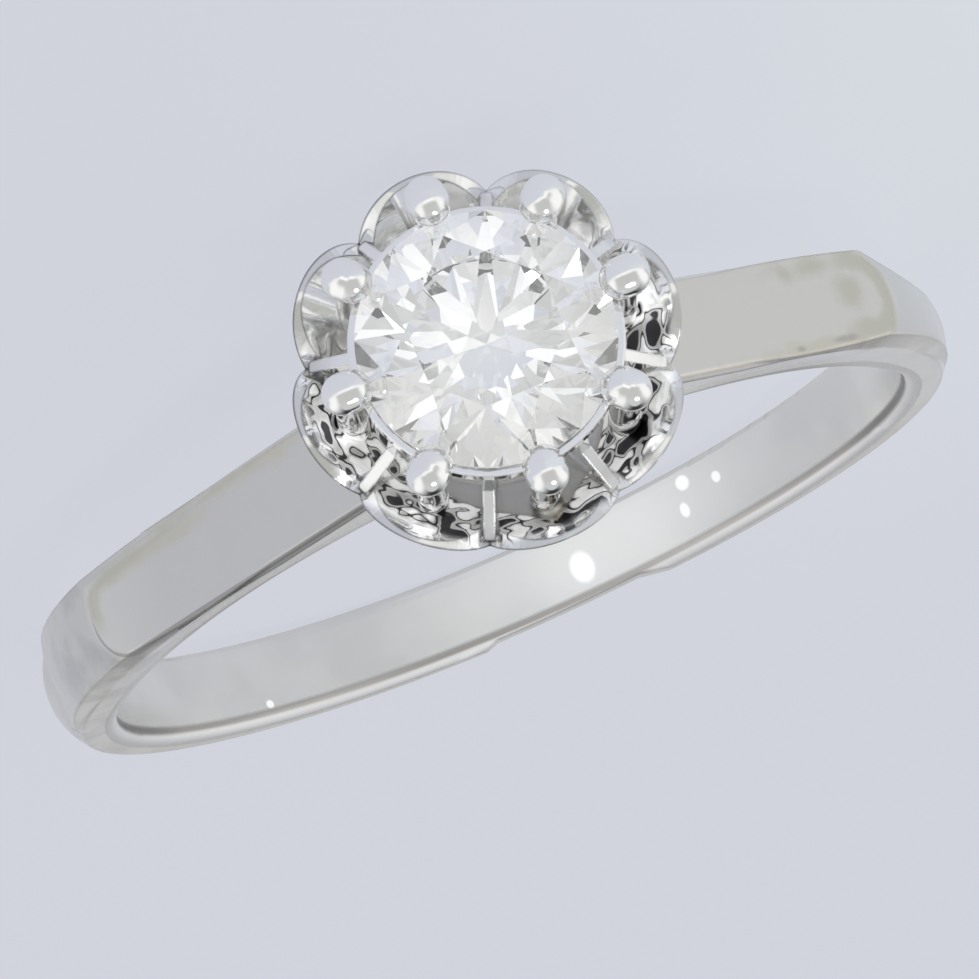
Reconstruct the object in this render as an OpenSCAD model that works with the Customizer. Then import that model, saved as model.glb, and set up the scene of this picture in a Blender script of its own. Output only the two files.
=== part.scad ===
// Diamond solitaire ring: a flower-shaped illusion head with eight petals and eight claws on a band
// with flat tapering shoulders. The ring lies on its side: one petal and the back of the band touch
// the ground, and the stone faces -Y. The origin is the middle of the finger hole.

/* [Finger hole and band] */
// Inside diameter of the band (US size 6)
finger_d = 16.5; // [14:0.1:20]
// Thickness of the band at the sides
band_t = 1.08; // [0.9:0.02:1.5]
// Width of the band over its rounded outside
band_w = 1.86; // [1.7:0.02:2.2]
// Radius of the rounded edges of the finger hole
rim_round = 0.28; // [0.1:0.02:0.4]
// How much further out the band sits towards the stone
band_shift = 0.2; // [0:0.05:0.3]
// Height of the rounded back of the band above its side edges
dome_h = 0.36; // [0.2:0.02:0.5]

/* [Shoulders] */
// Distance of each flat facet from the middle of the ring
facet_d = 9.66; // [9.55:0.01:9.8]
// Angle of each flat facet from level
facet_angle = 41.4; // [38:0.2:45]
// Width of each flat facet
facet_w = 1.68; // [1.5:0.02:1.8]
// How far the shoulder bulges past the band at the end of the facet
shoulder_rise = 1.2; // [1:0.05:1.4]
// Outside radius of the shoulder bulge
shoulder_r = 9.1; // [9:0.02:9.3]

/* [Worn shoulders] */
// How far wear has taken the far edge of the left facet in, at the facet's end
worn_edge = 0.25; // [0.05:0.01:0.4]
// Length of that worn edge
worn_len = 3.7; // [2:0.1:5]
// Slope of that worn edge against the facet
worn_slope = 22; // [10:1:40]
// Distance of the worn flat at the far corner of the right shoulder from the middle of the ring
flat_d = 7.62; // [7.5:0.02:7.9]
// Angle of the worn flat from level
flat_angle = 73.8; // [65:0.2:80]
// Turn of the worn flat towards the far side
flat_turn = 36.9; // [30:0.1:45]

/* [Resized back] */
// Where the new piece at the back begins, along the band
insert_from = -0.45; // [-2:0.05:0]
// Where it ends
insert_to = 2.9; // [1:0.05:4]
// How far it steps in where it begins
insert_step_1 = 0.12; // [0.05:0.01:0.25]
// How far it steps in where it ends
insert_step_2 = 0.17; // [0.05:0.01:0.25]

/* [Head] */
// Number of petals and of claws
petals = 8; // [6:1:10]
// Height of the petal tips above the middle of the ring
tip_z = 13.34; // [12.8:0.02:13.8]
// Distance of the petal tips from the middle of the head
tip_r = 3.21; // [3:0.01:3.4]
// Height of the notches between petals
notch_z = 12.67; // [12.2:0.01:13]
// Distance of the notches from the middle of the head
notch_r = 2.96; // [2.8:0.01:3.1]
// Thickness of the petals at their tips
rim_t = 0.1; // [0.08:0.01:0.2]
// Height at which the slope inside the petals ends
pocket_z = 12.6; // [12.2:0.05:12.9]
// Distance of that height's edge from the middle of the head
pocket_r = 2.5; // [2.4:0.02:2.7]
// Height of the floor inside the cup
floor_z = 11; // [10.8:0.1:11.5]
// Radius of that floor
floor_r = 1.6; // [1:0.05:1.7]
// Radius of the curve of the cup's wall, seen from the side
bowl_r = 10; // [8:0.5:14]
// Radius of the cup where its peg begins
foot_r = 1.2; // [1:0.05:1.4]
// Radius of the peg's lower end
peg_r = 0.55; // [0.5:0.05:0.7]
// Radius of each claw's round tip
bead_r = 0.34; // [0.25:0.01:0.36]
// How far each tip is drawn out towards the stone and back
bead_len = 0.13; // [0.05:0.01:0.2]
// Radius of each claw's stem
stem_r = 0.25; // [0.2:0.01:0.26]
// Thickness of the ribs that run in to the notches
rib_t = 0.2; // [0.15:0.01:0.3]

/* [Stone] */
// Diameter of the stone
stone_d = 4.1; // [3.8:0.05:4.3]
// Height of the stone's widest edge above the middle of the ring
girdle_z = 14.48; // [14.2:0.02:14.6]
// Thickness of the girdle
girdle_t = 0.12; // [0.08:0.01:0.16]
// Table width as a share of the diameter
table_share = 0.6; // [0.53:0.01:0.64]
// Angle of the crown's main facets
crown_angle = 34.5; // [32:0.5:36]
// Angle of the pavilion's main facets
pavilion_angle = 40.8; // [40:0.1:42]
// Free gap between stone and metal
seat_gap = 0.02; // [0.01:0.005:0.04]

/* [Hidden] */
$fn = 96;

white_gold = [0.86, 0.85, 0.82];
clear = [0.93, 0.95, 0.98, 0.7];

finger_r = finger_d / 2;
reach = 30;

// Band section, measured from the band's own axis
apex_r = finger_r + band_t;
edge_r = apex_r - dome_h;
dome_r = (pow(band_w / 2, 2) + pow(dome_h, 2)) / (2 * dome_h);
root_r = finger_r - 1;
round_lift = 0.02;

// Shoulder section: a flatter dome between rounded edges
shoulder_dome_r = 3.4;
shoulder_edge_r = shoulder_r - 0.5;
shoulder_root_r = root_r - shoulder_rise / 2;
shoulder_top_w = facet_w - 0.06;
shoulder_len = 6.4;
facet_bevel = 0.12;

// Relief that narrows the finger hole's edge below the head
relief_shift = 2.2;
relief_y = [0.5, 1.2];
relief_r = [5.46, 9.57];

// Resized back: run of the two sloping ends for each mm of depth
insert_runs = [2.5, 4];

// Cup: a bowl whose wall is an arc, with the steepness that the petal tips and notches give
rim_lean = atan((tip_r - notch_r) / (tip_z - notch_z));
bowl_c = [tip_r - bowl_r * cos(rim_lean), tip_z + bowl_r * sin(rim_lean)];
foot_z = bowl_c[1] - sqrt(pow(bowl_r, 2) - pow(foot_r - bowl_c[0], 2));
half_petal = 180 / petals;

// Round top of each petal, seen from outside: the arc falls from the tip to the notch
arch_x = tip_r * sin(half_petal);
arch_h = tip_z - notch_z;
arch_r = (pow(arch_x, 2) + pow(arch_h, 2)) / (2 * arch_h);

// Stone, as rings of points worked out from the facet angles
stone_r = stone_d / 2;
table_r = stone_r * table_share;
girdle_top = girdle_z + girdle_t / 2;
girdle_low = girdle_z - girdle_t / 2;
table_z = girdle_top + (stone_r - table_r) * tan(crown_angle);
culet_z = girdle_low - stone_r * tan(pavilion_angle);
star_r = (table_r + stone_r) / 2 * 1.02;
star_z = girdle_top + (stone_r - star_r * cos(22.5)) * tan(crown_angle);
lower_r = stone_r * 0.24;
lower_z = culet_z + lower_r * cos(22.5) * tan(pavilion_angle);
arc_steps = 4;

// Claws: the stems stand in the cup's wall
claw_r = stone_r + bead_r * 0.83;
bead_z = girdle_z + 0.25;
stem_sink = 0.05;
stem_foot_z = bowl_c[1] - sqrt(pow(bowl_r - stem_sink, 2) - pow(claw_r + stem_r - bowl_c[0], 2));

// Ribs from under the bearing down and out to the notches
rib_end_r = notch_r - 0.1;
rib_root_r = stone_r - 0.55;
rib_foot_r = [floor_r - 0.3, floor_r + 0.1];
rib_drop = [1.15, 0.9];

// Bearing: how far it stands in and out from the stone's edge, and its heights below the girdle
bearing_in = 0.35;
bearing_out = 0.12;
bearing_drop = [0.12, 0.4, 0.5];

// Rest: tilt about X at which one petal tip and the band's back edge are level
back_y = band_w / 2;
back_z = -(edge_r - band_shift);
rest_tilt = atan((tip_r - back_y) / (tip_z - back_z));

function polar(r, a, z) = [r * cos(a), r * sin(a), z];

// Height of the plane through three points, over the point x, y
function plane_z(p, q, s, x, y) =
    let (n = cross(q - p, s - p))
    p[2] - (n[0] * (x - p[0]) + n[1] * (y - p[1])) / n[2];

// Height of the half facet that holds the girdle point at angle a, above or below the girdle
function half_z(a, r, z, edge_z) =
    let (k = round(a / 45),
         side = a < k * 45 ? -22.5 : 22.5,
         corner = polar(stone_r, k * 45, edge_z),
         tip = polar(r, k * 45 + side, z),
         mid = polar(stone_r, k * 45 + side, edge_z))
    plane_z(corner, tip, mid, stone_r * cos(a), stone_r * sin(a));

// Half round section: straight sides up to side_r, slopes in to top_w at top_r, and a dome of radius curve_r
module d_section(inner_r, side_r, top_r, top_w, curve_r) {
    w = band_w / 2;
    top = top_w / 2;
    intersection() {
        translate([top_r - curve_r, 0]) circle(r = curve_r);
        polygon([[inner_r, -w], [side_r, -w], [top_r, -top], [top_r, top], [side_r, w], [inner_r, w]]);
    }
}

module band() {
    translate([0, 0, band_shift]) rotate([90, 0, 0]) rotate_extrude()
        d_section(root_r, edge_r, apex_r, band_w, dome_r);
}

module shoulder_ring() {
    translate([0, 0, shoulder_rise]) rotate([90, 0, 0]) rotate_extrude()
        d_section(shoulder_root_r, shoulder_edge_r, shoulder_r, shoulder_top_w, shoulder_dome_r);
}

// One rising shoulder under its flat facet, from the head to the band
module shoulder(side) {
    w = band_w / 2;
    top = facet_w / 2;
    bevel_d = facet_d - facet_bevel;
    rotate([0, side * facet_angle, 0]) translate([side * -shoulder_len, 0, 0]) rotate([90, 0, side * 90])
        linear_extrude(height = shoulder_len)
            polygon([[-w, root_r], [w, root_r], [w, bevel_d],
                     [top, facet_d], [-top, facet_d], [-w, bevel_d]]);
}

// All that lies above a level plane
module above(z) {
    translate([-reach / 2, -reach / 2, z]) cube(reach);
}

module facet_cut(side) {
    rotate([0, side * facet_angle, 0]) above(facet_d);
}

module worn_edge_cut() {
    rotate([0, -facet_angle, 0]) translate([0, facet_w / 2 - worn_edge, facet_d])
        rotate([0, 0, atan(worn_edge / worn_len)]) rotate([-worn_slope, 0, 0]) above(0);
}

module worn_flat_cut() {
    rotate([0, flat_angle, 0]) rotate([-flat_turn, 0, 0]) above(flat_d);
}

module edge_relief(side) {
    translate([0, side * relief_y[0], relief_shift]) rotate([-90 * side, 0, 0])
        cylinder(h = relief_y[1] - relief_y[0], r1 = relief_r[0], r2 = relief_r[1]);
}

module insert_cut() {
    edge = -band_w / 2;
    translate([0, 0, -reach - finger_r / 2]) linear_extrude(height = reach)
        polygon([[insert_from - insert_runs[0], edge + insert_step_1 - 1],
                 [insert_from, edge + insert_step_1],
                 [insert_to, edge + insert_step_2],
                 [insert_to + insert_runs[1], edge + insert_step_2 - 1]]);
}

module shank() {
    difference() {
        union() {
            band();
            shoulder_ring();
            for (side = [-1, 1]) shoulder(side);
        }
        for (side = [-1, 1]) {
            facet_cut(side);
            edge_relief(side);
        }
        worn_edge_cut();
        worn_flat_cut();
        insert_cut();
    }
}

// The finger hole with the rounding of its two edges
module finger_hole() {
    flare_r = finger_r + rim_round;
    straight = band_w / 2 - rim_round + round_lift;
    rotate([90, 0, 0]) rotate_extrude() difference() {
        translate([0, -reach / 2]) square([flare_r, reach]);
        translate([finger_r, -straight]) square([rim_round + 1, 2 * straight]);
        for (side = [-1, 1]) translate([flare_r, side * straight]) circle(r = rim_round);
    }
}

module bowl() {
    rotate_extrude() intersection() {
        translate(bowl_c) circle(r = bowl_r);
        translate([0, foot_z]) square([reach, tip_z - foot_z]);
    }
}

// Inside of the cup: a floor, a steep wall, and the open slope inside the petals
module cavity() {
    rim_r = tip_r - rim_t;
    over = 0.2;
    slope = (rim_r - pocket_r) / (tip_z - pocket_z);
    rotate_extrude()
        polygon([[0, floor_z], [floor_r, floor_z], [pocket_r, pocket_z],
                 [rim_r + over * slope, tip_z + over], [0, tip_z + over]]);
}

// Space between two petals above their round tops
module notch_cut() {
    rotate([90, 0, 90]) translate([0, 0, stone_r]) linear_extrude(height = reach) difference() {
        translate([-arch_x - 0.05, notch_z - 0.2]) square([2 * arch_x + 0.1, arch_h + 1]);
        for (side = [-1, 1]) translate([side * arch_x, tip_z - arch_r]) circle(r = arch_r);
    }
}

module cup() {
    difference() {
        union() {
            bowl();
            translate([0, 0, finger_r - 1]) cylinder(h = foot_z - finger_r + 1, r1 = peg_r, r2 = foot_r);
        }
        cavity();
        for (k = [0 : petals - 1]) rotate([0, 0, half_petal + k * 360 / petals]) notch_cut();
    }
}

module plate(points, thickness) {
    rotate([90, 0, 0]) translate([0, 0, -thickness / 2]) linear_extrude(height = thickness) polygon(points);
}

module rib() {
    plate([[rib_foot_r[0], floor_z - 0.1], [rib_foot_r[1], floor_z - 0.1],
           [rib_end_r, notch_z - 0.1], [rib_end_r, notch_z + 0.1],
           [stone_r + bearing_out, girdle_z - rib_drop[0]], [stone_r, girdle_z - bearing_drop[1]],
           [rib_root_r, girdle_z - rib_drop[1]]], rib_t);
}

// One claw: a turned stem, and a long round tip over the stone's edge
module claw() {
    translate([claw_r, 0, stem_foot_z]) cylinder(h = bead_z - stem_foot_z, r = stem_r);
    translate([claw_r - bead_len / 2, 0, bead_z]) rotate([0, 90, 0]) rotate_extrude() intersection() {
        union() {
            circle(r = bead_r);
            square([bead_r, bead_len]);
            translate([0, bead_len]) circle(r = bead_r);
        }
        translate([0, -bead_r]) square([bead_r, bead_len + 2 * bead_r]);
    }
}

// Ring under the girdle that carries the stone
module bearing() {
    inside = stone_r - bearing_in;
    outside = stone_r + bearing_out;
    rotate_extrude()
        polygon([[inside, girdle_z - bearing_drop[1]], [stone_r, girdle_z - bearing_drop[2]],
                 [outside, girdle_z - bearing_drop[1]], [outside, girdle_z - bearing_drop[0]],
                 [inside, girdle_z - bearing_drop[0]]]);
}

// The stone's outline turned into a round body and grown by the free gap
module seat() {
    g = seat_gap;
    rotate_extrude()
        polygon([[0, culet_z - 1.6 * g], [lower_r + 0.8 * g, lower_z - g],
                 [stone_r + g, girdle_low - 0.6 * g], [stone_r + g, girdle_top + 0.6 * g],
                 [star_r + 0.7 * g, star_z + g],
                 [table_r + 0.6 * g, table_z + 1.2 * g], [0, table_z + 1.2 * g]]);
}

module head() {
    cup();
    for (k = [0 : petals - 1]) rotate([0, 0, k * 360 / petals]) {
        claw();
        rotate([0, 0, half_petal]) rib();
    }
    bearing();
}

module upright_mounting() {
    difference() {
        union() {
            difference() {
                shank();
                cavity();
            }
            head();
        }
        finger_hole();
        seat();
    }
}

// Round brilliant: table, eight stars, eight kites, sixteen upper halves, girdle and the pavilion
module upright_diamond() {
    n = 16 * arc_steps;
    step = 360 / n;
    table = [for (k = [0 : 7]) polar(table_r, k * 45, table_z)];
    star = [for (k = [0 : 7]) polar(star_r, k * 45 + 22.5, star_z)];
    upper = [for (i = [0 : n - 1])
        polar(stone_r, i * step, half_z(i * step, star_r, star_z, girdle_top))];
    under = [for (i = [0 : n - 1])
        polar(stone_r, i * step, half_z(i * step, lower_r, lower_z, girdle_low))];
    lower = [for (k = [0 : 7]) polar(lower_r, k * 45 + 22.5, lower_z)];
    at_star = 8;
    at_upper = 16;
    at_under = at_upper + n;
    at_lower = at_under + n;
    at_culet = at_lower + 8;
    half = arc_steps;
    polyhedron(points = concat(table, star, upper, under, lower, [[0, 0, culet_z]]), faces = concat(
        [[for (k = [7 : -1 : 0]) k]],
        [for (k = [0 : 7]) [k, (k + 1) % 8, at_star + k]],
        [for (k = [0 : 7]) [k, at_star + k, at_upper + 2 * half * k, at_star + (k + 7) % 8]],
        [for (k = [0 : 7]) [at_star + k, for (i = [half : -1 : 0]) at_upper + 2 * half * k + i]],
        [for (k = [0 : 7])
            [at_star + k, for (i = [2 * half : -1 : half]) at_upper + (2 * half * k + i) % n]],
        [for (i = [0 : n - 1])
            [at_upper + i, at_upper + (i + 1) % n, at_under + (i + 1) % n, at_under + i]],
        [for (k = [0 : 7]) [at_lower + k, for (i = [0 : half]) at_under + 2 * half * k + i]],
        [for (k = [0 : 7]) [at_lower + k, for (i = [half : 2 * half]) at_under + (2 * half * k + i) % n]],
        [for (k = [0 : 7]) [at_culet, at_lower + (k + 7) % 8, at_under + 2 * half * k, at_lower + k]]
    ));
}

// Lays the upright ring on its side, stone towards -Y, tilted until it rests
module at_rest() {
    rotate([-rest_tilt, 0, 0]) rotate([0, 0, 180]) rotate([-90, 0, 0]) children();
}

module mounting() {
    color(white_gold) at_rest() upright_mounting();
}

module diamond() {
    color(clear) at_rest() rotate([0, 0, half_petal]) upright_diamond();
}

mounting();
diamond();
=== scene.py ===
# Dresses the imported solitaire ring: polished white gold with worn plating, a brilliant-cut diamond,
# and a plain pale studio round it
import math
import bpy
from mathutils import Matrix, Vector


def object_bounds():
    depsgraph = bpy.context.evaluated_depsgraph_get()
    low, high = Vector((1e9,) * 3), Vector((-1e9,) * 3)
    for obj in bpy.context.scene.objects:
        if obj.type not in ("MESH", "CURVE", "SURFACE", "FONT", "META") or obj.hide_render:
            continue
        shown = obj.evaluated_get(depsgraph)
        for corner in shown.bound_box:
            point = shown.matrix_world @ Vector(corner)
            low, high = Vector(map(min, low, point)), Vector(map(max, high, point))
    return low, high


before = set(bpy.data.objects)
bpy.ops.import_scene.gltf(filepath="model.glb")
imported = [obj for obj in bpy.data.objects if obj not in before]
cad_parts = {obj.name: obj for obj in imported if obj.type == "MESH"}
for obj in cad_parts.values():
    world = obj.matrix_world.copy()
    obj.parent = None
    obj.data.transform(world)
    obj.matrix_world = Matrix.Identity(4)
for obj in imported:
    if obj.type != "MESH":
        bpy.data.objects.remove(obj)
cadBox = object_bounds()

from types import SimpleNamespace

import bpy
from mathutils import Euler, Vector

print("frame loaded:", ", ".join(sorted(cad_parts)))

mmPerMetre = 1000
restTilt = math.radians(5.888)  # how far the resting ring leans from flat on its side
headAxis = (0, -math.cos(restTilt), math.sin(restTilt))  # from the finger hole to the stone
uprightTurn = (restTilt - math.radians(90), 0, math.radians(180))
black = (0, 0, 0, 1)


# Node trees are written with these helpers. A range is a pair of ends: where a mask is 0 and where it is 1
def addNode(tree, kind, values=None, **settings):
    node = tree.nodes.new(kind)
    for name, value in settings.items():
        setattr(node, name, value)
    for name, value in (values or {}).items():
        if isinstance(value, bpy.types.NodeSocket):
            tree.links.new(value, node.inputs[name])
        else:
            node.inputs[name].default_value = value
    return node


def calc(tree, operation, *values):
    return addNode(tree, "ShaderNodeMath", dict(enumerate(values)), operation=operation).outputs[0]


def product(tree, first, *others):
    for other in others:
        first = calc(tree, "MULTIPLY", first, other)
    return first


def largest(tree, first, *others):
    for other in others:
        first = calc(tree, "MAXIMUM", first, other)
    return first


def negative(tree, value):
    return calc(tree, "MULTIPLY", value, -1.0)


def inverse(tree, mask):
    return calc(tree, "SUBTRACT", 1.0, mask)


def distance(tree, first, second):
    squares = calc(tree, "ADD", product(tree, first, first), product(tree, second, second))
    return calc(tree, "SQRT", squares)


def softStep(tree, value, ends):
    node = addNode(tree, "ShaderNodeMapRange", {0: value, 1: ends[0], 2: ends[1]},
                   interpolation_type="SMOOTHSTEP")
    return node.outputs[0]


def splitAxes(tree, vector):
    axes = addNode(tree, "ShaderNodeSeparateXYZ", {"Vector": vector}).outputs
    return axes["X"], axes["Y"], axes["Z"]


def joinAxes(tree, x, y, z=0.0):
    return addNode(tree, "ShaderNodeCombineXYZ", {"X": x, "Y": y, "Z": z}).outputs[0]


def dot(tree, first, second):
    node = addNode(tree, "ShaderNodeVectorMath", {0: first, 1: second}, operation="DOT_PRODUCT")
    return node.outputs["Value"]


def blendValues(tree, amount, first, second):
    node = addNode(tree, "ShaderNodeMix", {0: amount, 2: first, 3: second}, data_type="FLOAT")
    return node.outputs[0]


def blendColours(tree, amount, first, second):
    node = addNode(tree, "ShaderNodeMix", data_type="RGBA")
    for socket, value in zip((node.inputs[0], node.inputs[6], node.inputs[7]), (amount, first, second)):
        if isinstance(value, bpy.types.NodeSocket):
            tree.links.new(value, socket)
        else:
            socket.default_value = value
    return node.outputs[2]


# The materials' glow is met by bounced rays only, and isn't sampled as lamps are
def newMaterial(name):
    material = bpy.data.materials.new(name)
    material.use_nodes = True
    material.cycles.emission_sampling = "NONE"
    return material, material.node_tree, material.node_tree.nodes["Principled BSDF"]


# Camera: the photo's view of the ring, which comes from a little above the resting ring and is turned
# nearly upside down
cameraSettings = {
    "place": (0.00465, -0.066935, 0.019961),
    "turn": (-71.2356, -22.5486, 175.4903),  # degrees, as is the next
    "fieldOfView": 15.5,
    "shift": (0.0699, 0.0176),
    "clip": (0.001, 10),
}


def placeCamera(settings):
    data = bpy.data.cameras.new("photoCamera")
    data.angle = math.radians(settings["fieldOfView"])
    data.shift_x, data.shift_y = settings["shift"]
    data.clip_start, data.clip_end = settings["clip"]
    camera = bpy.data.objects.new("photoCamera", data)
    camera.location = settings["place"]
    camera.rotation_euler = Euler([math.radians(a) for a in settings["turn"]])
    bpy.context.scene.collection.objects.link(camera)
    bpy.context.scene.camera = camera


placeCamera(cameraSettings)
print("camera placed")


studioSettings = {
    "paper": (0.10, 0.102, 0.108, 1),
    "paperRoughness": 0.9,
    "paperShine": 0.1,
    "paperHalfWidth": 1.2,
    "paperGlow": (0.621, 0.64, 0.709, 1),
    "paperGlowCorner": (0.68, 0.716, 0.762, 1),  # the photo's paler upper right
    "cornerX": (0.004, -0.016),
    "cornerY": (0.03, -0.02),
    "paperGlowStrength": 0.906,
    "backdrop": (0.63, 0.65, 0.716, 1),  # what the camera sees past the paper
    # All ranges below are of a direction's X, Y or Z, where -Y is the camera's side
    "skyBright": (0.98, 0.98, 0.97, 1),
    "skyHeight": (0.02, 0.30),
    "horizonFront": (0.92, 0.92, 0.91, 1),
    "horizonBack": (0.53, 0.535, 0.55, 1),
    "horizonTurn": (-0.2, 0.3),
    "tent": (0.60, 0.605, 0.61, 1),
    "tentFront": (0.57, 0.57, 0.56, 1),
    "tentTurn": (0.20, 0.60),
    "tentWidth": (0.80, 0.52),
    "tentFoot": (0.12, 0.24),
    "window": (1.05, 1.05, 1.05, 1),
    "windowSide": (0.86, 0.94),
    "windowHeight": (0.20, 0.12),
    "darkCard": (0.04, 0.04, 0.045, 1),
    "cardSide": (0.0, 0.16),
    "cardHeight": (0.26, 0.50),
    "cardCorners": (0.20, 0.42),  # the card hangs lower at its corners
    "cardDrop": 0.30,
    "cardLeft": (-0.65, -0.10),
    "cardRight": (0.65, 0.20),
    "cardTop": (0.92, 0.84),  # straight above it is open
    "lampDirection": (-0.14, -0.33, 0.93),
    "lampDistance": 0.16,
    "lampSize": 0.046,
    "lampPower": 0.018,
    "glossyBounces": 7,
    "glassBounces": 12,
}


# The paper under the ring. Its paleness is mostly its own glow, which is stronger in one corner
def makePaper(settings):
    half = settings["paperHalfWidth"]
    floorZ = cadBox[0].z
    mesh = bpy.data.meshes.new("paper")
    corners = [(x * half, y * half, floorZ) for x, y in ((-1, -1), (1, -1), (1, 1), (-1, 1))]
    mesh.from_pydata(corners, [], [(0, 1, 2, 3)])
    paper = bpy.data.objects.new("paper", mesh)
    bpy.context.scene.collection.objects.link(paper)

    material, tree, shader = newMaterial("palePaper")
    shader.inputs["Base Color"].default_value = settings["paper"]
    shader.inputs["Roughness"].default_value = settings["paperRoughness"]
    shader.inputs["Specular IOR Level"].default_value = settings["paperShine"]
    x, y = splitAxes(tree, addNode(tree, "ShaderNodeTexCoord").outputs["Object"])[:2]
    corner = product(tree, softStep(tree, x, settings["cornerX"]), softStep(tree, y, settings["cornerY"]))
    glow = blendColours(tree, corner, settings["paperGlow"], settings["paperGlowCorner"])
    tree.links.new(glow, shader.inputs["Emission Color"])
    shader.inputs["Emission Strength"].default_value = settings["paperGlowStrength"]
    mesh.materials.append(material)


# A bright sky with a grey tent in it, a low window in front and a dark card behind
def skyColour(tree, settings):
    x, y, z = splitAxes(tree, addNode(tree, "ShaderNodeTexCoord").outputs["Generated"])
    aside = calc(tree, "ABSOLUTE", x)
    front = negative(tree, y)
    horizon = blendColours(tree, softStep(tree, y, settings["horizonTurn"]),
                           settings["horizonFront"], settings["horizonBack"])
    colour = blendColours(tree, softStep(tree, z, settings["skyHeight"]), horizon, settings["skyBright"])

    tent = blendColours(tree, softStep(tree, front, settings["tentTurn"]),
                        settings["tent"], settings["tentFront"])
    inTent = product(tree, softStep(tree, aside, settings["tentWidth"]),
                     softStep(tree, z, settings["tentFoot"]))
    colour = blendColours(tree, inTent, colour, tent)

    inWindow = product(tree, softStep(tree, front, settings["windowSide"]),
                       softStep(tree, z, settings["windowHeight"]))
    colour = blendColours(tree, inWindow, colour, settings["window"])

    drop = product(tree, softStep(tree, aside, settings["cardCorners"]), settings["cardDrop"])
    height = calc(tree, "ADD", z, drop)
    onCard = product(tree, softStep(tree, y, settings["cardSide"]),
                     softStep(tree, height, settings["cardHeight"]),
                     softStep(tree, x, settings["cardLeft"]), softStep(tree, x, settings["cardRight"]),
                     softStep(tree, z, settings["cardTop"]))
    return blendColours(tree, onCard, colour, settings["darkCard"])


def makeSky(settings):
    world = bpy.data.worlds.new("studioSky")
    bpy.context.scene.world = world
    world.use_nodes = True
    world.cycles.sampling_method = "NONE"
    tree = world.node_tree
    tree.nodes.clear()
    seen = addNode(tree, "ShaderNodeLightPath").outputs["Is Camera Ray"]
    colour = blendColours(tree, seen, skyColour(tree, settings), settings["backdrop"])
    sky = addNode(tree, "ShaderNodeBackground", {"Color": colour})
    addNode(tree, "ShaderNodeOutputWorld", {"Surface": sky.outputs[0]})


def addLamp(settings):
    data = bpy.data.lights.new("topLamp", "AREA")
    data.shape = "DISK"
    data.size = settings["lampSize"]
    data.energy = settings["lampPower"]
    lamp = bpy.data.objects.new("topLamp", data)
    lamp.location = Vector(settings["lampDirection"]).normalized() * settings["lampDistance"]
    lamp.rotation_euler = (-lamp.location).to_track_quat("-Z", "Y").to_euler()
    bpy.context.scene.collection.objects.link(lamp)


def setLightPaths(settings):
    scene = bpy.context.scene
    scene.view_settings.view_transform = "Standard"
    scene.cycles.glossy_bounces = settings["glossyBounces"]
    scene.cycles.transmission_bounces = settings["glassBounces"]
    scene.cycles.max_bounces = settings["glassBounces"]


makePaper(studioSettings)
makeSky(studioSettings)
addLamp(studioSettings)
setLightPaths(studioSettings)
print("studio lit")


# A cloudy mask, which both materials use
def makeCloudGroup():
    group = bpy.data.node_groups.new("cloudMask", "ShaderNodeTree")
    for name in ("Scale", "Detail", "From", "To"):
        group.interface.new_socket(name, in_out="INPUT", socket_type="NodeSocketFloat")
    group.interface.new_socket("Vector", in_out="INPUT", socket_type="NodeSocketVector")
    group.interface.new_socket("Mask", in_out="OUTPUT", socket_type="NodeSocketFloat")
    given = addNode(group, "NodeGroupInput").outputs
    noise = addNode(group, "ShaderNodeTexNoise",
                    {"Vector": given["Vector"], "Scale": given["Scale"], "Detail": given["Detail"]})
    mask = softStep(group, noise.outputs["Fac"], (given["From"], given["To"]))
    addNode(group, "NodeGroupOutput", {"Mask": mask})
    return group


cloudGroup = makeCloudGroup()


def clouds(tree, vector, values):
    node = addNode(tree, "ShaderNodeGroup", node_tree=cloudGroup)
    tree.links.new(vector, node.inputs["Vector"])
    for name, value in values.items():
        node.inputs[name].default_value = value
    return node.outputs["Mask"]


# Object coordinates in mm. With uprightTurn, X runs along the shoulders and Z towards the stone
def millimetres(tree, turn=(0, 0, 0)):
    place = addNode(tree, "ShaderNodeTexCoord").outputs["Object"]
    node = addNode(tree, "ShaderNodeMapping",
                   {"Vector": place, "Scale": (mmPerMetre,) * 3, "Rotation": turn})
    return node.outputs[0]


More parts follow.
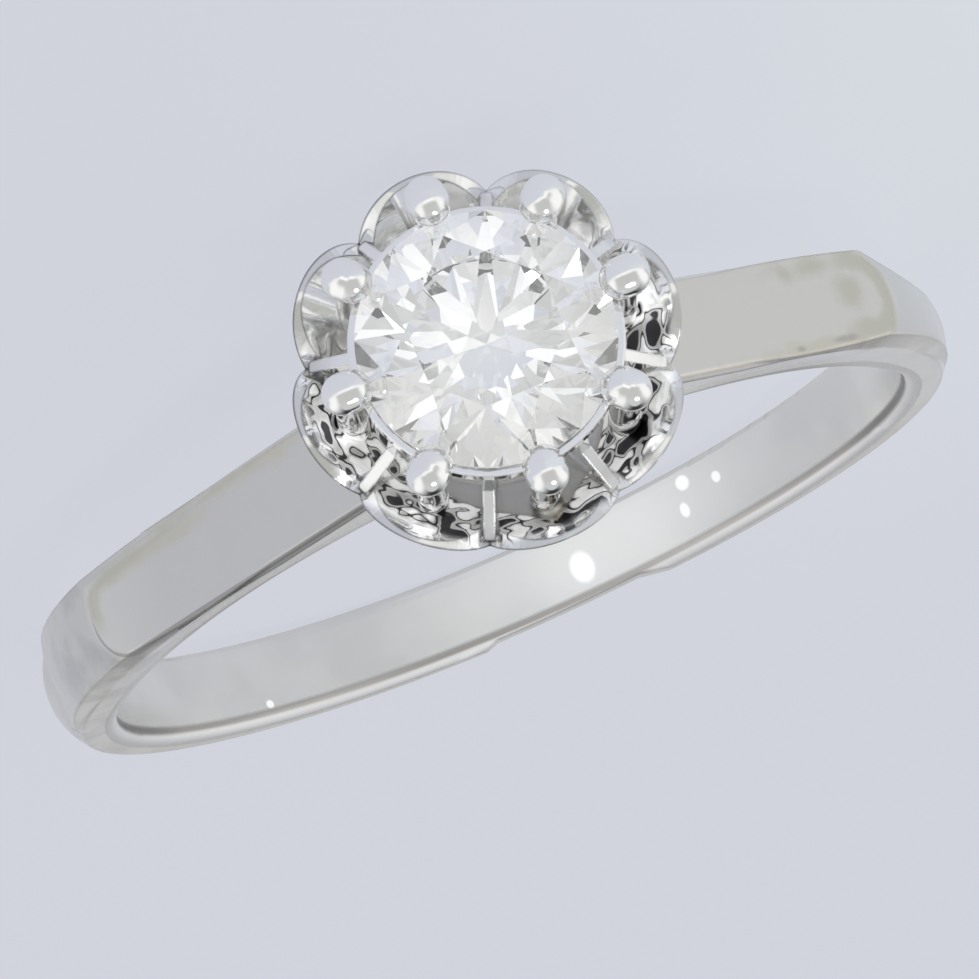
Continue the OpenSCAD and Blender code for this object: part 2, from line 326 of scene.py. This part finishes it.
# Lengths are in mm. A depth is counted outwards from the facets' plane, and a place along a facet from
# its point nearest the ring's middle, away from the head
goldSettings = {
    # The ring's own shape
    "facetAngle": 41.4,  # degrees
    "facetDistance": 9.66,
    "facetEnd": 1.8,
    "facetHalfWidth": 0.86,
    "facetCorner": 0.7,
    "holeRadius": 8.25,
    "petals": 8,
    "headDepth": (0.02, 0.10),
    "shoulderDepth": (-0.5, -0.3),
    "facetDepth": (-0.06, -0.02),
    "wallDepth": (0.06, 0.02),  # outwards from the finger hole

    # Colours of the band
    "shank": ((0.80, 0.785, 0.735, 1), (0.766, 0.752, 0.704, 1)),  # clean and clouded
    "shankClouds": {"Scale": 0.55, "Detail": 2.0, "From": 0.3, "To": 0.7},
    "leftFacetShade": (0.705, 0.69, 0.66, 1),  # painted shade: the left facet is darker
    "leftFacetShadeFade": (2.2, -0.4),
    "facet": (0.775, 0.742, 0.685, 1),  # the right facet
    "besideDepth": (-0.04, -0.10),  # the band beside its facets
    "besideHeight": (-3.5, 0.0),
    "outer": ((0.69, 0.68, 0.64, 1), (0.74, 0.73, 0.70, 1)),  # left and right of the ring
    "face": ((0.77, 0.76, 0.75, 1), (0.87, 0.865, 0.86, 1)),  # the band's flat sides, likewise
    "faceSide": (0.78, 0.90),  # from the middle of the band's width
    "rightward": (-2.0, 3.0),
    "smudge": (0.56, 0.545, 0.53, 1),
    "smudgeClouds": {"Scale": 0.9, "Detail": 4.0, "From": 0.45, "To": 0.70},
    "smudgeFade": (-4.0, -7.0),
    "smudgeAmount": 0.8,

    # The wall of the finger hole
    "wall": ((0.845, 0.835, 0.79, 1), (0.785, 0.775, 0.74, 1)),  # and where it is hazed
    "wallClouds": {"Scale": 0.45, "Detail": 3.0, "From": 0.40, "To": 0.65},
    "inside": (0.98, 0.97, 0.915, 1),  # painted light: the back of the wall is lighter
    "insideFrom": (-3.0, 1.0),
    "insideTo": (6.0, 3.0),
    "insideHeight": (0.0, -4.0),
    "thrown": (0.11, 0.11, 0.105, 1),  # light that the stone throws on it
    "thrownMiddle": (2.8, 0.0),
    "thrownHalf": (3.1, 1.15),
    "thrownEdge": (1.6, 0.2),
    "glint": (0.40, 0.41, 0.42, 1),
    "glintEdge": (1.25, 0.75),

    # The near edge of the finger hole, inner and outer part: painted shade on the inner part, and a paler
    # outer part
    "rim": ((0.50, 0.485, 0.47, 1), (0.93, 0.93, 0.94, 1)),
    "rimRoughness": (0.35, 0.60),
    "rimSide": (0.58, 0.68),
    "rimDepth": (0.34, 0.24),
    "rimSplit": (0.74, 0.84),  # where the outer part begins
    "rimEnd": (7.2, 8.1),
    "rimEndShade": 0.6,

    # Wear on the shoulders
    "tint": (0.655, 0.632, 0.54, 1),  # where the plating has worn through
    "warm": (0.73, 0.69, 0.59, 1),  # bare gold along the near edge
    "warmDepth": (-0.03, -0.008),
    # painted shade for dark lines along edges, the ends of the hole's near edge and the cup's outlines
    "paintedShade": (0.16, 0.16, 0.175, 1),
    "ragged": {"Scale": 2.0, "Detail": 4.0},  # noise that makes outlines uneven
    "raggedDepth": 0.55,
    "wornWobble": 0.8,
    "warmWobble": 0.6,
    "markWobble": 0.1,
    "bandWobble": 0.5,
    "bandSoftness": (0.14, 0.10),  # outside and inside the band
    "spotCore": 0.1,  # the least part of a spot that shows in full
    "lineWidth": (0.055, 0.015),  # the dark line round the left facet
    "lineAcross": (0.15, -0.25),
    "lineStart": (-5.3, -4.9),
    "lineDarkness": (0.60, 0.45),
    "linePales": (0.6, 1.3),

    # The head
    "head": (0.95, 0.95, 0.945, 1),
    "cupRadius": (3.05, 2.85),
    "recess": (0.55, 0.545, 0.535, 1),  # darker cloudy patches low inside the cup
    "grimeHeight": (13.3, 12.4),
    "grimeClouds": {"Scale": 1.4, "Detail": 3.0, "From": 0.40, "To": 0.60},
    "hollowShade": (0.10, 0.10, 0.11, 1),  # painted shade in the hollows of the unpolished pockets and round their lumps
    "pocketGlow": (0.14, 0.14, 0.138, 1),  # light from the stone in the pockets, and on their knobs
    "knobGlow": (0.38, 0.38, 0.38, 1),
    "pocketHeight": (13.6, 13.0),
    "pocketSide": (1.9, 0.5),  # most of it is on the near side
    "ribWidth": (-0.94, -0.86),  # cosine of a point's angle round the head, times the petals
    "lumps": {"Scale": 2.7, "Detail": 0.6, "Distortion": 0.4},
    "outlineLevel": 0.50,
    "outlineWidth": (0.026, 0.014),
    "hollowLevel": (0.40, 0.37),
    "knobLevel": (0.535, 0.56),
    "outsideRadius": (2.60, 2.75),  # where outlines are drawn, from the head's axis
    "rimTopShade": (0.78, 0.78, 0.765, 1),  # painted shade: the flat top of the petals' rim is darker
    "rimTopFacing": (0.80, 0.90),  # cosine to the head's axis
    "edgeTurn": (0.99, 0.94),  # cosine between the softened and the sharp normal
    "edgeShade": (0.35, 1.0),  # how dark the painted shade on the cup's edges is, right and left
    "edgeShadeSide": (1.5, -1.0),

    # Polish
    "shankRoughness": (0.21, 0.265),
    "smearClouds": {"Scale": 1.3, "Detail": 3.0, "From": 0.35, "To": 0.65},
    "headRoughness": 0.06,
    "pocketRoughness": 0.34,
    "wornRoughness": 0.10,
    "softEdges": (0.10, 0.055),  # rounding of the band's edges and of the cup's
    "edgeSamples": 4,
    "scratches": {"Scale": 14.0, "Detail": 2.0},
    "scratchStretch": 0.75,
    "scratchHeight": 0.02,
    "lumpHeight": 3.0,
    "bumpStrength": 0.35,
    "bumpDistance": 0.0001,  # metres
}

# Worn places on the shoulders: side (-1 is left), along the facet, across it, half length, half width,
# softness
wornPlaces = [
    (-1, -2.40, 0.80, 1.60, 0.12, 0.16),
    (1, -0.78, 0.62, 0.22, 0.18, 0.14),
    (1, 0.05, 0.68, 0.80, 0.13, 0.14),
    (1, 0.66, 0.10, 0.34, 0.34, 0.20),
    (1, 0.80, -0.66, 0.45, 0.20, 0.16),
]

# Places along the right facet's near edge where the gold itself shows, given in the same way
warmPlaces = [
    (1, -0.60, -0.80, 1.50, 0.11, 0.12),
    (1, 0.95, -0.70, 0.50, 0.16, 0.14),
]

# Painted shade along the right facet's near edge, as fine marks given in the same way, with their darkness
# at the end
darkMarks = [
    (1, 0.02, -0.76, 0.28, 0.06, 0.04, 0.30),
    (1, -2.90, -0.86, 1.50, 0.02, 0.03, 0.15),
    (1, -1.20, -0.80, 0.10, 0.05, 0.04, 0.30),
]

# Worn bands along the rounded ends of the facets: side, end, half width, corner radius, how far in the
# band's middle lies, its half width, and the ranges across and along the facet in which it fades in
wornBands = [
    (-1, 1.62, 0.58, 0.55, 0.0, 0.13, (-0.45, 0.15), (-2.6, -0.6)),
    (1, 1.78, 0.86, 0.70, 0.20, 0.16, (-0.90, -0.75), (0.2, 1.0)),
]

# Spots of light that the stone throws on the inside of the band: angle along the wall, place across it,
# half length along and across
glints = [
    (12.9, -0.12, 0.26, 0.34),
    (32.6, 0.54, 0.16, 0.16),
    (38.2, 0.30, 0.11, 0.12),
    (31.2, -0.01, 0.11, 0.16),
    (-41.9, -0.54, 0.10, 0.09),
]


# Coordinates and masks that all of the metal's marks are placed by
def ringPlaces(tree, settings):
    at = SimpleNamespace(upright=millimetres(tree, uprightTurn))
    at.x, at.y, at.z = splitAxes(tree, at.upright)
    at.aside = calc(tree, "ABSOLUTE", at.x)
    at.nearSide = negative(tree, at.y)
    at.fromHeadAxis = distance(tree, at.x, at.y)
    at.fromHoleAxis = distance(tree, at.x, at.z)

    angle = math.radians(settings["facetAngle"])
    sine, cosine = math.sin(angle), math.cos(angle)
    outward = calc(tree, "ADD", product(tree, at.aside, sine), product(tree, at.z, cosine))
    at.depth = calc(tree, "SUBTRACT", outward, settings["facetDistance"])
    at.along = calc(tree, "SUBTRACT", product(tree, at.aside, cosine), product(tree, at.z, sine))
    at.facetPlane = joinAxes(tree, at.along, at.y)

    at.onRight = calc(tree, "GREATER_THAN", at.x, 0.0)
    at.onLeft = inverse(tree, at.onRight)
    at.onHead = softStep(tree, at.depth, settings["headDepth"])
    at.onShoulder = product(tree, softStep(tree, at.depth, settings["shoulderDepth"]),
                            inverse(tree, at.onHead))
    at.onFacet = softStep(tree, at.depth, settings["facetDepth"])
    at.outOfHole = calc(tree, "SUBTRACT", at.fromHoleAxis, settings["holeRadius"])
    at.onWall = softStep(tree, at.outOfHole, settings["wallDepth"])

    noise = addNode(tree, "ShaderNodeTexNoise", {"Vector": at.upright, **settings["ragged"]})
    centred = calc(tree, "SUBTRACT", noise.outputs["Fac"], 0.5)
    at.ragged = product(tree, centred, settings["raggedDepth"])
    return at


def onSide(at, side):
    return at.onRight if side > 0 else at.onLeft


# How far a point lies from the middle of a spot, where the spot's outline is at 1
def spotDistance(tree, plane, middle, half):
    scale = (1 / half[0], 1 / half[1], 0)
    start = (-middle[0] / half[0], -middle[1] / half[1], 0)
    scaled = addNode(tree, "ShaderNodeVectorMath", {0: plane, 1: scale, 2: start},
                     operation="MULTIPLY_ADD").outputs[0]
    return addNode(tree, "ShaderNodeVectorMath", {0: scaled}, operation="LENGTH").outputs["Value"]


def facetSpot(tree, at, settings, wobble, side, along, across, halfLength, halfWidth, softness):
    least = min(halfLength, halfWidth)
    far = spotDistance(tree, at.facetPlane, (along, across), (halfLength, halfWidth))
    edge = calc(tree, "ADD", far, product(tree, at.ragged, wobble / least))
    ends = (1 + softness / least, max(1 - softness / least, settings["spotCore"]))
    return product(tree, softStep(tree, edge, ends), onSide(at, side))


# How far a point lies outside the rounded end of a facet
def pastFacetEnd(tree, at, end, halfWidth, corner, across):
    beyond = calc(tree, "MAXIMUM", calc(tree, "SUBTRACT", at.along, end - corner), 0.0)
    beside = calc(tree, "MAXIMUM", calc(tree, "SUBTRACT", across, halfWidth - corner), 0.0)
    return calc(tree, "SUBTRACT", distance(tree, beyond, beside), corner)


def facetBand(tree, at, settings, side, end, halfWidth, corner, inward, halfBand, fadeAcross, fadeAlong):
    across = at.y if side < 0 else calc(tree, "ABSOLUTE", at.y)
    past = pastFacetEnd(tree, at, end, halfWidth, corner, across)
    off = calc(tree, "ABSOLUTE", calc(tree, "ADD", past, inward))
    off = calc(tree, "ADD", off, product(tree, at.ragged, settings["bandWobble"]))
    outside, inside = settings["bandSoftness"]
    return product(tree, softStep(tree, off, (halfBand + outside, halfBand - inside)), onSide(at, side),
                   softStep(tree, at.y, fadeAcross), softStep(tree, at.along, fadeAlong))


def wornMask(tree, at, settings):
    spots = [facetSpot(tree, at, settings, settings["wornWobble"], *place) for place in wornPlaces]
    bands = [facetBand(tree, at, settings, *band) for band in wornBands]
    return product(tree, largest(tree, *spots, *bands), at.onShoulder)


def warmMask(tree, at, settings):
    spots = [facetSpot(tree, at, settings, settings["warmWobble"], *place) for place in warmPlaces]
    return product(tree, largest(tree, *spots), at.onShoulder,
                   softStep(tree, at.depth, settings["warmDepth"]))


# Painted shade: the dark line along the left facet's near edge and round its end
def facetLine(tree, at, settings):
    past = pastFacetEnd(tree, at, settings["facetEnd"], settings["facetHalfWidth"], settings["facetCorner"],
                        at.nearSide)
    line = softStep(tree, calc(tree, "ABSOLUTE", past), settings["lineWidth"])
    darkness = blendValues(tree, softStep(tree, at.along, settings["linePales"]), *settings["lineDarkness"])
    return product(tree, line, at.onLeft, softStep(tree, at.y, settings["lineAcross"]), darkness,
                   softStep(tree, at.along, settings["lineStart"]))


def darkMask(tree, at, settings):
    marks = [product(tree, facetSpot(tree, at, settings, settings["markWobble"], *place), darkness)
             for *place, darkness in darkMarks]
    return product(tree, largest(tree, facetLine(tree, at, settings), *marks), at.onShoulder)


# Darker cloudy patches low in the cup, and the unpolished casting of its pockets, with painted shade in its
# hollows
def cupMasks(tree, at, settings):
    cup = SimpleNamespace()
    inside = product(tree, softStep(tree, at.fromHeadAxis, settings["cupRadius"]), at.onHead)
    cup.grime = product(tree, inside, softStep(tree, at.z, settings["grimeHeight"]),
                        clouds(tree, at.upright, settings["grimeClouds"]))
    turn = product(tree, calc(tree, "ARCTAN2", at.y, at.x), settings["petals"])
    offRib = softStep(tree, calc(tree, "COSINE", turn), settings["ribWidth"])
    cup.pocket = product(tree, inside, softStep(tree, at.z, settings["pocketHeight"]),
                         softStep(tree, at.y, settings["pocketSide"]), offRib)
    lumps = addNode(tree, "ShaderNodeTexNoise", {"Vector": at.upright, **settings["lumps"]})
    cup.lumps = lumps.outputs["Fac"]
    # Painted shade: dark outlines round the lumps and in their hollows
    fromLevel = calc(tree, "ABSOLUTE", calc(tree, "SUBTRACT", cup.lumps, settings["outlineLevel"]))
    deep = largest(tree, softStep(tree, fromLevel, settings["outlineWidth"]),
                   softStep(tree, cup.lumps, settings["hollowLevel"]))
    cup.hollow = product(tree, deep, cup.pocket)
    cup.knob = product(tree, softStep(tree, cup.lumps, settings["knobLevel"]), cup.pocket)
    return cup


def rimMasks(tree, at, settings):
    near = product(tree, softStep(tree, at.nearSide, settings["rimSide"]),
                   softStep(tree, at.outOfHole, settings["rimDepth"]))
    outer = product(tree, near, softStep(tree, at.nearSide, settings["rimSplit"]))
    inner = calc(tree, "SUBTRACT", near, outer)
    return inner, outer


# The band beside its facets: the outside and the flat sides, smudged on the left
def besideColour(tree, at, settings):
    toRight = softStep(tree, at.x, settings["rightward"])
    onFace = softStep(tree, calc(tree, "ABSOLUTE", at.y), settings["faceSide"])
    colour = blendColours(tree, onFace, blendColours(tree, toRight, *settings["outer"]),
                          blendColours(tree, toRight, *settings["face"]))
    smudge = product(tree, clouds(tree, at.upright, settings["smudgeClouds"]),
                     softStep(tree, at.x, settings["smudgeFade"]), settings["smudgeAmount"])
    return blendColours(tree, smudge, colour, settings["smudge"])


def bandColour(tree, at, rims, settings):
    colour = blendColours(tree, clouds(tree, at.upright, settings["shankClouds"]), *settings["shank"])
    # Painted shade: the left facet is darker, fading out along it
    leftFacetShade = product(tree, at.onLeft, at.onFacet, softStep(tree, at.along, settings["leftFacetShadeFade"]))
    colour = blendColours(tree, leftFacetShade, colour, settings["leftFacetShade"])
    colour = blendColours(tree, product(tree, at.onRight, at.onFacet), colour, settings["facet"])
    beside = product(tree, softStep(tree, at.depth, settings["besideDepth"]),
                     softStep(tree, at.z, settings["besideHeight"]))
    colour = blendColours(tree, beside, colour, besideColour(tree, at, settings))

    wall = blendColours(tree, clouds(tree, at.upright, settings["wallClouds"]), *settings["wall"])
    colour = blendColours(tree, at.onWall, colour, wall)
    # Painted light: the back of the wall is lighter
    bright = product(tree, softStep(tree, at.x, settings["insideFrom"]),
                     softStep(tree, at.x, settings["insideTo"]),
                     softStep(tree, at.z, settings["insideHeight"]), at.onWall)
    colour = blendColours(tree, bright, colour, settings["inside"])

    # Painted shade on the inner part of the hole's near edge, and a paler outer part
    for mask, rimColour in zip(rims, settings["rim"]):
        colour = blendColours(tree, mask, colour, rimColour)
    innerRim = rims[0]
    # Painted shade where the inner part of the near edge turns at the ends of the hole
    ends = product(tree, innerRim, softStep(tree, at.aside, settings["rimEnd"]), settings["rimEndShade"])
    return blendColours(tree, ends, colour, settings["paintedShade"])


# Painted shade: dark outlines round the cup and a darker flat top of its rim. The rounded normal is that of
# softened edges
def cupEdgeColour(tree, at, rounded, colour, settings):
    sharp = addNode(tree, "ShaderNodeNewGeometry").outputs["True Normal"]
    outside = product(tree, softStep(tree, at.fromHeadAxis, settings["outsideRadius"]), at.onHead)
    top = product(tree, softStep(tree, dot(tree, sharp, headAxis), settings["rimTopFacing"]), outside)
    colour = blendColours(tree, top, colour, settings["rimTopShade"])
    shade = blendValues(tree, softStep(tree, at.x, settings["edgeShadeSide"]), *settings["edgeShade"])
    edge = product(tree, softStep(tree, dot(tree, rounded, sharp), settings["edgeTurn"]), outside, shade)
    return blendColours(tree, edge, colour, settings["paintedShade"])


def goldColour(tree, at, cup, rims, worn, rounded, settings):
    colour = blendColours(tree, at.onHead, bandColour(tree, at, rims, settings), settings["head"])
    # The dark marks and the pockets' hollows below are painted shade
    for mask, name in ((warmMask(tree, at, settings), "warm"), (worn, "tint"),
                       (darkMask(tree, at, settings), "paintedShade"), (cup.grime, "recess"),
                       (cup.knob, "head"), (cup.hollow, "hollowShade")):
        colour = blendColours(tree, mask, colour, settings[name])
    return cupEdgeColour(tree, at, rounded, colour, settings)


# Light that the stone throws on the wall of the finger hole and into the pockets, as a glow of the metal
def goldGlow(tree, at, cup, settings):
    radius = settings["holeRadius"]
    run = product(tree, calc(tree, "ARCTAN2", at.x, negative(tree, at.z)), radius)
    plane = joinAxes(tree, run, at.y)
    spots = []
    for angle, across, halfLength, halfWidth in glints:
        far = spotDistance(tree, plane, (math.radians(angle) * radius, across), (halfLength, halfWidth))
        spots.append(softStep(tree, far, settings["glintEdge"]))
    spotted = product(tree, largest(tree, *spots), at.onWall)
    far = spotDistance(tree, plane, settings["thrownMiddle"], settings["thrownHalf"])
    thrown = product(tree, softStep(tree, far, settings["thrownEdge"]), at.onWall)
    colour = black
    for mask, glow in ((thrown, settings["thrown"]), (cup.pocket, settings["pocketGlow"]),
                       (cup.knob, settings["knobGlow"]), (cup.hollow, black), (spotted, settings["glint"])):
        colour = blendColours(tree, mask, colour, glow)
    return colour


def goldRoughness(tree, at, cup, rims, worn, settings):
    smear = clouds(tree, at.upright, settings["smearClouds"])
    roughness = blendValues(tree, smear, *settings["shankRoughness"])
    roughness = blendValues(tree, at.onHead, roughness, settings["headRoughness"])
    roughness = calc(tree, "ADD", roughness, product(tree, worn, settings["wornRoughness"]))
    roughness = blendValues(tree, cup.pocket, roughness, settings["pocketRoughness"])
    for mask, value in zip(rims, settings["rimRoughness"]):
        roughness = blendValues(tree, mask, roughness, value)
    return roughness


# Lumps in the pockets and fine scratches that run round the ring
def goldBump(tree, at, cup, rounded, settings):
    angle = calc(tree, "ARCTAN2", at.x, at.z)
    lines = joinAxes(tree, product(tree, angle, settings["scratchStretch"]), at.y, at.fromHoleAxis)
    scratches = addNode(tree, "ShaderNodeTexNoise", {"Vector": lines, **settings["scratches"]})
    height = calc(tree, "ADD", product(tree, scratches.outputs["Fac"], settings["scratchHeight"]),
                  product(tree, cup.lumps, cup.pocket, settings["lumpHeight"]))
    bump = addNode(tree, "ShaderNodeBump", {"Height": height, "Strength": settings["bumpStrength"],
                   "Distance": settings["bumpDistance"], "Normal": rounded})
    return bump.outputs[0]


def whiteGold(settings):
    material, tree, shader = newMaterial("whiteGold")
    shader.inputs["Metallic"].default_value = 1
    shader.inputs["Emission Strength"].default_value = 1
    at = ringPlaces(tree, settings)
    cup = cupMasks(tree, at, settings)
    rims = rimMasks(tree, at, settings)
    worn = wornMask(tree, at, settings)
    radius = product(tree, blendValues(tree, at.onHead, *settings["softEdges"]), 1 / mmPerMetre)
    bevel = addNode(tree, "ShaderNodeBevel", {"Radius": radius}, samples=settings["edgeSamples"])
    rounded = bevel.outputs[0]
    colour = goldColour(tree, at, cup, rims, worn, rounded, settings)
    tree.links.new(colour, shader.inputs["Base Color"])
    tree.links.new(goldGlow(tree, at, cup, settings), shader.inputs["Emission Color"])
    tree.links.new(goldRoughness(tree, at, cup, rims, worn, settings), shader.inputs["Roughness"])
    tree.links.new(goldBump(tree, at, cup, rounded, settings), shader.inputs["Normal"])
    return material


stoneSettings = {
    "lightBending": 2.417,
    "clear": (1.0, 1.0, 1.0, 1),
    "veiled": (0.955, 0.965, 0.975, 1),  # where a finger left a film
    "filmRoughness": 0.015,
    "filmClouds": {"Scale": 0.9, "Detail": 3.0, "From": 0.45, "To": 0.7},
    "stoneGlow": ((0.22, 0.23, 0.22, 1), (1.0, 1.0, 0.90, 1)),  # glow at the girdle and in the middle
    "stoneGlowRadius": (1.7, 0.3),
    "stoneGlowStrength": 0.040,
}


def brilliant(settings):
    material, tree, shader = newMaterial("brilliant")
    shader.inputs["Metallic"].default_value = 0
    shader.inputs["IOR"].default_value = settings["lightBending"]
    shader.inputs["Transmission Weight"].default_value = 1
    film = clouds(tree, millimetres(tree), settings["filmClouds"])
    colour = blendColours(tree, film, settings["clear"], settings["veiled"])
    tree.links.new(colour, shader.inputs["Base Color"])
    tree.links.new(product(tree, film, settings["filmRoughness"]), shader.inputs["Roughness"])

    # A faint glow stands in for the light that the real stone throws back through its middle
    x, y = splitAxes(tree, millimetres(tree, uprightTurn))[:2]
    middle = softStep(tree, distance(tree, x, y), settings["stoneGlowRadius"])
    tree.links.new(blendColours(tree, middle, *settings["stoneGlow"]), shader.inputs["Emission Color"])
    shader.inputs["Emission Strength"].default_value = settings["stoneGlowStrength"]
    return material


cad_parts["mounting"].data.materials[0] = whiteGold(goldSettings)
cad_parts["diamond"].data.materials[0] = brilliant(stoneSettings)
print("materials done")
